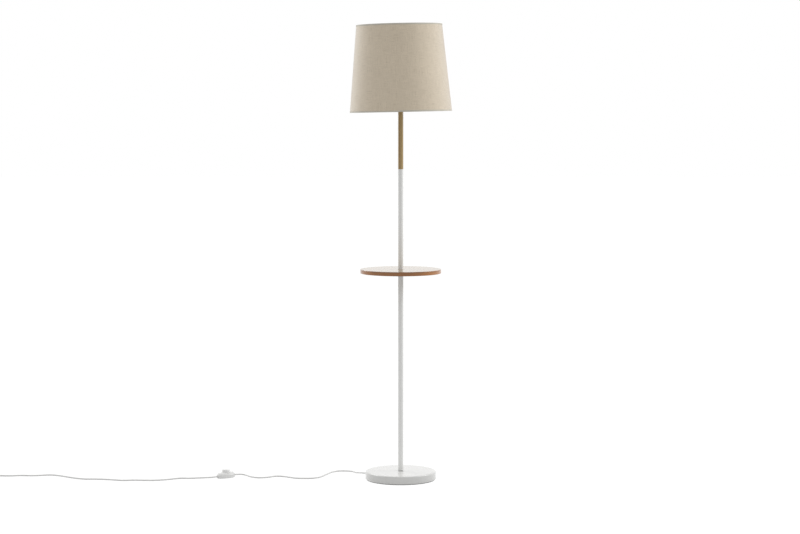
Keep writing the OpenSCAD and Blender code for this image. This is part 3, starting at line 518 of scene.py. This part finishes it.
LEAD_D = 0.005
LEAD_STEP = 0.004                   # between the points of its curve
LEAD_ANGLE = math.radians(150)      # from +X to where the lead leaves the base
LEAD_WAY = Vector((math.cos(LEAD_ANGLE), math.sin(LEAD_ANGLE), 0))
LEAD_EXIT = 0.141 * LEAD_WAY + Vector((0, 0, 0.008))    # at the strain relief's tip
LEAD_STRAIGHT = 0.013               # from there to its first bend
ROUTE_TO_SWITCH = [
    (-0.156, 0.104, 0.0045), (-0.171, 0.136, 0.003), (-0.196, 0.148, 0.0025), (-0.221, 0.145, 0.0025),
    (-0.240, 0.124, 0.0025), (-0.251, 0.098, 0.0025), (-0.261, 0.071, 0.0025), (-0.270, 0.044, 0.0025),
    (-0.284, 0.017, 0.0025), (-0.306, 0.002, 0.0025), (-0.333, 0.000, 0.0025), (-0.361, 0.004, 0.0025),
    (-0.382, 0.020, 0.0025), (-0.412, 0.041, 0.0025), (-0.437, 0.040, 0.0025), (-0.461, 0.020, 0.0025),
    (-0.490, 0.013, 0.0025), (-0.519, 0.030, 0.003), (-0.535, 0.050, 0.0045), (-0.553, 0.057, 0.0065)]
ROUTE_TO_COIL = [
    (-0.654, -0.001, 0.006), (-0.724, 0.000, 0.003), (-0.761, 0.002, 0.0025), (-0.811, -0.028, 0.0025),
    (-0.858, -0.038, 0.0025), (-0.910, -0.034, 0.0025), (-0.955, -0.038, 0.0025), (-1.009, -0.021, 0.0025),
    (-1.047, -0.014, 0.0025), (-1.093, -0.011, 0.0025), (-1.139, 0.017, 0.0025), (-1.180, 0.050, 0.0025),
    (-1.220, 0.067, 0.0025), (-1.272, 0.054, 0.0025), (-1.318, 0.057, 0.0025), (-1.359, 0.049, 0.0025),
    (-1.400, 0.054, 0.0025)]
SWITCH = Matrix.Translation((-0.604, 0.030, 0)) @ Matrix.Rotation(math.radians(35), 4, "Z")
SWITCH_LEAD_Z = 0.007
SWITCH_MOUTH = 0.035                # from the switch's middle to each mouth
SWITCH_CLAMP = 0.025                # and to the end of the lead inside it
COIL_AT = Vector((-1.445, 0.022, 0))
COIL_TURNS = 4.25
COIL_PITCH = 0.0056
COIL_R = 5.5 * LEAD_D + COIL_PITCH * COIL_TURNS / 4
COIL_STEPS = 60                     # points in each turn
PLUG_AT = Vector((COIL_AT.x - COIL_R, 0.004, 0.00685))
PLUG_STEP = 0.003                   # between the curve's points from the coil to the plug


def coil_point(turns):
    """The coil spirals in and out again in two layers, and climbs in the half turn between."""
    u = min(1, max(0, (turns - COIL_TURNS / 2) * 2 + 0.5))
    angle = math.radians(90 + 360 * turns)
    r = COIL_R - COIL_PITCH * min(turns, COIL_TURNS - turns)
    return COIL_AT + Vector((r * math.cos(angle), r * math.sin(angle),
                             LEAD_D / 2 + COIL_PITCH * u * u * (3 - 2 * u)))


def cord_piece(name, points):
    """A round lead along the points, as one curve."""
    curve = bpy.data.curves.new(name, "CURVE")
    curve.dimensions = "3D"
    line = curve.splines.new("POLY")
    line.points.add(len(points) - 1)
    line.points.foreach_set("co", np.array([(*p, 1) for p in points], float).ravel())
    line.use_smooth = True
    curve.bevel_depth = LEAD_D / 2
    curve.bevel_resolution = 6
    curve.use_fill_caps = True
    curve.materials.append(PAINT["lead_pvc"])
    made = new_object(name, curve)
    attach(made, "root")
    return made


def in_switch(along):
    """A point of the lead's straight way through the switch, from the switch's middle."""
    return SWITCH @ Vector((along, 0, SWITCH_LEAD_Z))


def lead_to_switch():
    """Out of the base, down and along the floor into the switch."""
    start = [LEAD_EXIT, LEAD_EXIT + LEAD_STRAIGHT * LEAD_WAY]
    end = [in_switch(SWITCH_MOUTH), in_switch(SWITCH_CLAMP)]
    made = cord_piece("lead_to_switch", smooth_line([*start, *ROUTE_TO_SWITCH, *end], LEAD_STEP))
    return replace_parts(made, "cord_to_switch")


def lead_to_plug():
    """Out of the switch, along the floor, round the coil and into the plug."""
    start = [in_switch(-SWITCH_CLAMP), in_switch(-SWITCH_MOUTH)]
    coil_start = COIL_AT + Vector((LEAD_D, COIL_R, LEAD_D / 2))
    coil_before = coil_start + Vector((2 * LEAD_D, 0, 0))
    run = smooth_line([*start, *ROUTE_TO_COIL, coil_before, coil_start], LEAD_STEP)
    coil = [coil_point(k / COIL_STEPS) for k in range(round(COIL_STEPS * COIL_TURNS) + 1)]
    over_plug = PLUG_AT + Vector((0, 0.0108, LEAD_D / 2 + COIL_PITCH - PLUG_AT.z))
    away = smooth_line([coil[-1], over_plug, PLUG_AT + Vector((0, LEAD_D, 0)), PLUG_AT], PLUG_STEP)
    made = cord_piece("lead_to_plug", [*run, *coil, *away[1:]])
    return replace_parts(made, "cord_to_coil", "cord_coil")


def base_relief():
    """The strain relief at the base: a flange behind the cover, a collar and a ribbed taper."""
    bore, tip = 2.6, 141.0
    ribs, first_rib, rib_pitch = 6, 125.0, 2.45
    rib_r, taper, groove = 4.35, 0.16, 0.75
    outline = [(bore, 117.4), (4.2, 117.4), (4.2, 119.35), (3.5, 119.35), (3.5, 121.05), (5.25, 121.05),
               (5.25, 122.6), (4.7, 123.2), (4.3, 123.9)]
    for i in range(ribs):
        at = first_rib + i * rib_pitch
        r = rib_r - taper * i
        outline += [(r - groove, at), (r - groove, at + 0.9), (r, at + 1.1), (r, at + 2.2)]
    outline += [(3.2, tip - 0.9), (3.2, tip), (bore, tip)]
    place = (Matrix.Rotation(LEAD_ANGLE, 4, "Z") @ Matrix.Translation((0, 0, LEAD_EXIT.z))
             @ Matrix.Rotation(QUARTER, 4, "Y"))
    made = turned("lead_relief_ribbed", softened(outline, 0.35), PAINT["lead_pvc"], 48,
                  place=place, slot="lead_pvc")
    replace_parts(made, "lead_relief")


# ---- Foot switch ------------------------------------------------------------------------

SWITCH_HALF = (33.0, 18.0)          # half its length and width, mm
SWITCH_POWER = 2.3                  # how square its outline is
SWITCH_SEAM = 8.02                  # where its cover starts, mm up
BUTTON_HOLE = 13.3                  # its radius, mm
SWITCH_STEPS = 144
SWITCH_ANGLES = [(k + 0.5) / SWITCH_STEPS * TURN for k in range(SWITCH_STEPS)]


def oval_radius(angle, inset):
    """From the middle to the outline that lies inset inside the switch's own."""
    c = abs(math.cos(angle)) / (SWITCH_HALF[0] - inset)
    s = abs(math.sin(angle)) / (SWITCH_HALF[1] - inset)
    return (c ** SWITCH_POWER + s ** SWITCH_POWER) ** (-1 / SWITCH_POWER)


def switch_ring(radii, heights):
    """A ring round the switch's middle, from a radius and a height in mm at each of its angles."""
    return [(r * math.cos(a) * MM, r * math.sin(a) * MM, z * MM)
            for a, r, z in zip(SWITCH_ANGLES, radii, heights)]


def switch_lower():
    """The tray. Its levels of (inset, height) run up the outside, over the rim and down to its floor."""
    levels = [(1.2, 0.0), (0.45, 0.18), (0.1, 0.6), (0, 1.2), (0, 7.4), (0.08, 7.75), (0.35, 8.0),
              (1.7, 8.0), (2, 7.7), (2, 2.6), (2.6, 2.0)]
    rings = []
    for inset, z in levels:
        radii = [oval_radius(a, inset) for a in SWITCH_ANGLES]
        rings.append(switch_ring(radii, [z] * SWITCH_STEPS))
    made = skinned("foot_switch_lower", rings, PAINT["switch_plastic"],
                   slot="switch_plastic", place=SWITCH)
    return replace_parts(made, "switch_base")


def top_of_hole(angle, outer, radius):
    """How high the cover is where the button's hole cuts through it."""
    for (inset_a, z_a), (inset_b, z_b) in zip(outer, outer[1:]):
        a, b = oval_radius(angle, inset_a), oval_radius(angle, inset_b)
        if b <= radius <= a and a > b:
            return z_a + (z_b - z_a) * (a - radius) / (a - b)
    return outer[-1][1]


def switch_upper():
    """The domed cover. Its rings run from the seam over the top, down the button's hole and back inside."""
    lip = BUTTON_HOLE + 0.45        # where the top rounds over into the hole
    hole_back = BUTTON_HOLE + 0.6   # and where the inside meets it
    wall, roof = 2.0, 1.8
    dome = smooth_line([(0, 9.5), (0.55, 11.9), (3.0, 15.2), (5.6, 17.85), (8.6, 19.3), (10.5, 19.5)], 0.5)
    outer = [(0.35, SWITCH_SEAM), (0.08, 8.3), (0, 8.65), *[tuple(p) for p in dome]]
    rim = [top_of_hole(a, outer, lip) for a in SWITCH_ANGLES]
    rings = []
    for inset, z in outer:
        radii = [max(oval_radius(a, inset), lip) for a in SWITCH_ANGLES]
        rings.append(switch_ring(radii, [min(z, edge) for edge in rim]))
    for r, down in ((BUTTON_HOLE + 0.13, 0.13), (BUTTON_HOLE, 0.45), (BUTTON_HOLE, 1.9), (hole_back, wall)):
        rings.append(switch_ring([r] * SWITCH_STEPS, [edge - down for edge in rim]))
    for inset, z in outer[::-1]:
        radii = [max(oval_radius(a, inset + wall), hole_back) for a in SWITCH_ANGLES]
        rings.append(switch_ring(radii, [max(min(z - roof, edge - wall), SWITCH_SEAM) for edge in rim]))
    made = skinned("foot_switch_upper", rings, PAINT["switch_plastic"], slot="switch_plastic",
                   closed=True, place=SWITCH)
    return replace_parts(made, "switch_cover")


def switch_glands():
    """The ribbed mouths that the lead goes through."""
    bore = 2.6
    outline = softened([(bore, 26.0), (5.2, 26.0), (5.2, 32.9), (4.7, 33.2), (4.7, 33.5), (5.2, 33.8),
                        (5.2, 34.4), (4.6, 35.0), (bore, 35.0)], 0.3)
    made = []
    for name, side in (("foot_switch_gland_right", 0), ("foot_switch_gland_left", math.pi)):
        place = (SWITCH @ Matrix.Rotation(side, 4, "Z") @ Matrix.Translation((0, 0, SWITCH_LEAD_Z))
                 @ Matrix.Rotation(QUARTER, 4, "Y"))
        made.append(turned(name, outline, PAINT["switch_plastic"], 48,
                           place=place, slot="switch_plastic"))
    return made


def switch_spring():
    """A coil spring under the button, which flattens as the button is pressed."""
    turns, wire, radius, low, high = 5, 0.9, 5.55, 4.0, 15.2
    steps, sides = 24, 10           # points in a turn, and round the wire
    thinned = 0.98                  # how much of its thickness the wire is drawn with
    up_way = Vector((0, 0, 1))
    angles = [k / steps * TURN for k in range(turns * steps + 1)]
    rise = (high - low - wire) / angles[-1]
    rings = []
    for a in angles:
        out = Vector((math.cos(a), math.sin(a), 0))
        middle = out * radius + Vector((0, 0, low + wire / 2 + rise * a))
        around = [math.cos(t) * out + math.sin(t) * up_way for t in np.arange(sides) / sides * TURN]
        rings.append([(middle + way * wire / 2 * thinned) * MM for way in around])
    made = skinned("foot_switch_spring", rings, PAINT["bare_steel"], slot="bare_steel", place=SWITCH)
    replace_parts(made, "switch_spring")
    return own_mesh(made)


# ---- Plug and tie -----------------------------------------------------------------------


def plug_section(x, width, thick):
    """One slice of the plug's body, in its own frame."""
    return [(x * MM, y * MM, z * MM) for y, z in rounded_slice(width, thick, steps=64, power=3.6)]


def plug_body():
    """A flat two-pin plug's body: narrow at the lead, with grip ridges on its shoulders."""
    start, front = 22.02, 58.0
    first, last = start + 0.5, front - 1.2          # where shares 0 and 1 of the stations lie
    stations = [(0, 13.0, 10.5), (0.10, 13.6, 10.9), (0.35, 21.9, 13.0), (0.55, 30.5, 13.6),
                (0.72, 35.0, 13.7), (0.85, 35.3, 13.7), (1, 35.3, 13.7)]    # (share, width, thickness)
    grip_start, grip_end, ridge, groove = 0.38, 0.82, 0.055, 0.55
    rings = [plug_section(start, 11.8, 9.3), plug_section(start + 0.25, 12.6, 10.1)]
    for share, width, thick in smooth_line(stations, 0.35):
        grip = 0
        if grip_start < share < grip_end:
            grip = groove * max(0, math.sin((share - grip_start) / ridge * math.pi))
        rings.append(plug_section(first + share * (last - first), width - 0.5 * grip, thick - grip))
    rings += [plug_section(front - 0.5, 35.0, 13.4), plug_section(front - 0.12, 34.4, 12.8),
              plug_section(front, 33.6, 12.0)]
    place = Matrix.Translation(PLUG_AT) @ Matrix.Rotation(-QUARTER, 4, "Z")
    made = skinned("plug_moulding", rings, PAINT["lead_pvc"], slot="lead_pvc", place=place)
    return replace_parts(made, "plug_body")


def coil_tie():
    """A narrow band round all the turns of the coil, on the side away from the plug."""
    inner, outer, top, width, thick = 18.3, 36.6, 11.3, 9.0, 0.55
    side = math.radians(-38)        # from +X, seen from above
    middle, size = (inner + outer) / 2, (outer - inner, top)
    outside = rounded_slice(*size, steps=64, power=5)
    inside = rounded_slice(*size, steps=64, power=5, inward=thick)
    rings = []
    for (x, z), (x_in, z_in) in zip(outside, inside):
        ring = [(middle + x, y * width / 2, top / 2 + z) for y in (-1, -0.9, 0.9, 1)]
        ring += [(middle + x_in, y * width / 2, top / 2 + z_in) for y in (1, -1)]
        rings.append(np.array(ring) * MM)
    place = Matrix.Translation(COIL_AT) @ Matrix.Rotation(side, 4, "Z")
    return skinned("coil_tie", rings, PAINT["black_plastic"], slot="black_plastic", closed=True, place=place)


# ---- Shade ------------------------------------------------------------------------------

SEAT_Z = 1.300                      # the shade sits and turns here
SHADE_LEAN = math.radians(-1.2)     # about Y, as it sits in the photograph
SHADE_DROP = 0.039                  # from the seat down to its lower rim
SHADE = (Matrix.Translation((0, 0, SEAT_Z)) @ Matrix.Rotation(SHADE_LEAN, 4, "Y")
         @ Matrix.Translation((0, 0, -SHADE_DROP)))
SHADE_BOTTOM_R, SHADE_TOP_R, SHADE_H = 174.0, 146.0, 295.0
SHADE_STEPS = 256                   # points round it
HEM_H, HEM_T, SHADE_WALL, LAYER_T = 5.0, 0.5, 1.2, 0.3


def shade_r(up):
    """The shade's outer radius at a height above its lower rim, mm."""
    return SHADE_BOTTOM_R + (SHADE_TOP_R - SHADE_BOTTOM_R) * up / SHADE_H


def cone_layer(name, material, out, short):
    """One layer of the shade's wall, out mm inside its widest surface and short of both its rims."""
    rows = 24
    ups = np.linspace(short, SHADE_H - short, rows + 1)
    outside = [(shade_r(up) - out, up) for up in ups]
    inside = [(shade_r(up) - out - LAYER_T, up) for up in ups[::-1]]
    return turned(name, outside + inside, material, SHADE_STEPS, body="shade", slot="linen", place=SHADE)


def hem(name, rim, inward):
    """A strip of linen folded round one rim, its edge a little uneven and its linen drawn darker: painted
    shade along the fold. inward is +1 at the lower rim.
    """
    rim_r = shade_r(rim)
    edge_r = shade_r(rim + inward * HEM_H)
    fold = 0.34                     # from the rim to the inside of the fold
    outline = [(edge_r - HEM_T, HEM_H), (edge_r - 0.12, HEM_H), (edge_r, HEM_H - 0.2), (rim_r, 0.5),
               (rim_r - 0.2, 0.15), (rim_r - 0.55, 0.0), (rim_r - 0.9, 0.1), (rim_r - SHADE_WALL, 0.6),
               (edge_r - SHADE_WALL, HEM_H - 0.6), (edge_r - SHADE_WALL + 0.15, HEM_H - 0.5),
               (rim_r - 0.9, fold + 0.3), (rim_r - HEM_T, fold)]
    waves = ((0.35, 5, 1.3), (0.2, 17, 0), (0.12, 41, 2))       # (height, how many, phase) of its edge
    rings = []
    for r, up in outline:
        ring = []
        for a in np.arange(SHADE_STEPS) / SHADE_STEPS * TURN:
            uneven = sum(high * math.sin(many * a + phase) for high, many, phase in waves)
            z = up + (uneven * (up / HEM_H) ** 2 if up > 1 else 0)
            ring.append((r * math.cos(a) * MM, r * math.sin(a) * MM, (rim + inward * z) * MM))
        rings.append(ring)
    skinned(name, rings, SHADED_HEM_LINEN, "shade", "linen", closed=True, place=SHADE)


def back_seam():
    """The glued overlap up the back of the shade."""
    width, lift, short, rows = 11.0, 0.3, 0.8, 29
    section = [(-1, -0.15), (-1, 0.6 * lift), (-0.94, lift), (0.94, lift), (1, 0.6 * lift), (1, -0.15)]
    rings = []
    for up in np.linspace(short, SHADE_H - short, rows + 1):
        wall_r = shade_r(up) - HEM_T
        ring = []
        for side, out in section:
            a = QUARTER + side * width / 2 / wall_r
            ring.append(((wall_r + out) * math.cos(a) * MM, (wall_r + out) * math.sin(a) * MM, up * MM))
        rings.append(ring)
    skinned("shade_back_seam", rings, PAINT["linen"], "shade", "linen", place=SHADE)


def shade():
    """Linen over a lining, with a hem at each rim and a seam at the back."""
    linen_wall = cone_layer("shade_linen", PAINT["linen"], out=HEM_T, short=0.3)
    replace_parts(linen_wall, "shade_fabric")
    cone_layer("shade_lining", LINING, out=HEM_T + LAYER_T, short=0.35)
    hem("shade_hem_lower", 0.0, 1)
    hem("shade_hem_upper", SHADE_H, -1)
    back_seam()


# ---- Lampholder and bulb ----------------------------------------------------------------


def threaded_skirt():
    """The lampholder's skirt with the thread that the shade ring screws on to."""
    bore, root, crest, flange = 15.3, 18.3, 19.0, 23
    foot, seat, top = 1285, 1300, 1326
    pitch, thread_low, thread_high = 2.0, 1300.6, 1325.4
    outline = softened([(bore, foot), (16.7, foot), (16.7, 1290), (crest, 1290), (crest, 1297.5),
                        (flange, 1297.5), (flange, seat), (root, seat), (root, top), (bore, top)], 0.4)
    over_seat = next(i for i, (r, z) in enumerate(outline) if r < root + 0.01 and seat < z < seat + 10)
    outline[over_seat + 1:over_seat + 1] = steps_between(root, thread_low, thread_high, 0.16)
    made = turned("holder_skirt_threaded", outline, PAINT["holder_plastic"], slot="holder_plastic",
                  grow=helix_growth(crest - root, pitch, thread_low, thread_high), sharp=50)
    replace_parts(made, "holder_skirt")


def threaded_cap():
    """The bulb's screw cap, rolled from thin sheet: its inside has the same thread."""
    foot, crest, sheet = 1296.8, 13.1, 0.6
    depth, pitch = 0.55, 3.6
    wall = steps_between(crest, foot + 5.4, foot + 25.6, 0.45)
    inside = [(r - sheet, z) for r, z in wall[::-1]]
    outline = [(9.5, foot + 4), (10.2, foot + 4), (11.4, foot + 4.3), (12.4, foot + 4.8), *wall,
               (crest, foot + 27), (12.3, foot + 27), *inside, (11.4, foot + 5.1), (10.0, foot + 4.7),
               (9.5, foot + 4.7)]
    made = turned("bulb_cap_threaded", outline, PAINT["bulb_metal"], body="bulb", slot="bulb_metal",
                  grow=helix_growth(-depth, pitch, foot + 6, foot + 25, sharpness=1.0), sharp=50)
    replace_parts(made, "bulb_cap")


# ---- CAD pieces that stay ---------------------------------------------------------------


def dress_cad():
    """Every CAD piece gets its slot's material, or its own where it differs from its slot."""
    slots = {row["node"]: row["material_slot"] for row in frame["record"]["subparts"]}
    special = {"table_top": TABLE_OAK, "base_cover": BASE_PAINT, "holder_cores": BROWN_CORE}
    for name, piece in frame["nodes"].items():
        piece.data.materials.clear()
        piece.data.materials.append(special.get(name, PAINT[slots[name]]))


def cad_nodes(*names):
    return [frame["nodes"][name] for name in names]


# ---- Floor and light --------------------------------------------------------------------


def seen_directly(tree):
    """1 for what the camera sees, also in a mirror or through glass, and 0 for light on the object."""
    rays = tree.nodes.new("ShaderNodeLightPath")
    either = maths(tree, "MAXIMUM", rays.outputs["Is Camera Ray"], rays.outputs["Is Glossy Ray"])
    return maths(tree, "MAXIMUM", either, rays.outputs["Is Transmission Ray"])


def add_floor():
    """A pale floor that the camera sees as white with the lamp's faint shadow."""
    far = 30
    bounced, shadowed, glow = grey(0.6), grey(0.13), grey(0.93)
    data = bpy.data.meshes.new("floor")
    data.from_pydata([(-far, -far, 0), (far, -far, 0), (far, far, 0), (-far, far, 0)], [], [(0, 1, 2, 3)])
    material = bpy.data.materials.new("floor")
    material.use_nodes = True
    tree = material.node_tree
    tree.nodes.clear()
    lit = node(tree, "BsdfDiffuse", {"Color": bounced})
    faint = node(tree, "BsdfDiffuse", {"Color": shadowed})
    bright = node(tree, "AddShader", {0: faint, 1: node(tree, "Emission", {"Color": glow})})
    tree.links.new(node(tree, "MixShader", {0: seen_directly(tree), 1: lit, 2: bright}),
                   tree.nodes.new("ShaderNodeOutputMaterial").inputs["Surface"])
    data.materials.append(material)
    floor = new_object("floor", data)


def soft_box(name, angle, strength):
    """A large lamp beside the shade, angle degrees round from the front to the right. On a white
    surface that faces it there it adds strength to the light."""
    away, up, aim, size = 1.75, 1.70, 1.40, 0.9
    data = bpy.data.lights.new(name, "AREA")
    data.size = size
    data.energy = strength * math.pi ** 2 * (away ** 2 + (up - aim) ** 2)
    place = Vector((away * math.sin(math.radians(angle)), -away * math.cos(math.radians(angle)), up))
    lamp = new_object(name, data)
    lamp.location = place
    lamp.rotation_euler = (Vector((0, 0, aim)) - place).to_track_quat("-Z", "Y").to_euler()
    lamp.visible_camera = False


def light_room():
    """Soft light from all round, a little stronger from above and behind. The backdrop is white,
    and the room on the camera's side of the lamp is dimmer where it shows in gloss."""
    level, behind, above = 0.70, 0.10, 0.165
    front_edge, front_slope, dimmed = 0.25, -2.5, -0.6
    world = bpy.data.worlds.new("room")
    bpy.context.scene.world = world
    world.use_nodes = True
    tree = world.node_tree
    tree.nodes.clear()
    _, y, z = split(tree, node(tree, "TexCoord", out="Generated"))
    on_object = maths(tree, "MULTIPLY_ADD", z, above, maths(tree, "MULTIPLY_ADD", y, behind, level))
    in_front = maths(tree, "MULTIPLY_ADD", y, front_slope, front_edge, clamp=True)
    glossy = tree.nodes.new("ShaderNodeLightPath").outputs["Is Glossy Ray"]
    shown = maths(tree, "MULTIPLY_ADD", maths(tree, "MULTIPLY", in_front, glossy), dimmed, 1.0)
    strength = node(tree, "Mix", {0: seen_directly(tree), 2: on_object, 3: shown}, data_type="FLOAT")
    light = node(tree, "Background", {"Color": grey(1), "Strength": strength})
    tree.links.new(light, tree.nodes.new("ShaderNodeOutputWorld").inputs["Surface"])
    soft_box("soft_box_right", angle=97, strength=0.53)
    soft_box("soft_box_left", angle=-129, strength=0.50)


# ---- The whole scene --------------------------------------------------------------------

add_camera()
first_lead = lead_to_switch()
second_lead = lead_to_plug()
base_relief()
switch_pieces = [switch_lower(), switch_upper(), *switch_glands(), switch_spring()]
switch_pieces += cad_nodes("switch_screws", "switch_contacts", "switch_cores", "switch_bridge",
                           "switch_button")
plug_pieces = [plug_body(), coil_tie(), *cad_nodes("plug_relief", "plug_sleeves", "plug_pins")]
shade()
threaded_skirt()
threaded_cap()
dress_cad()
add_floor()
light_room()

bpy.context.scene.view_settings.view_transform = "Standard"
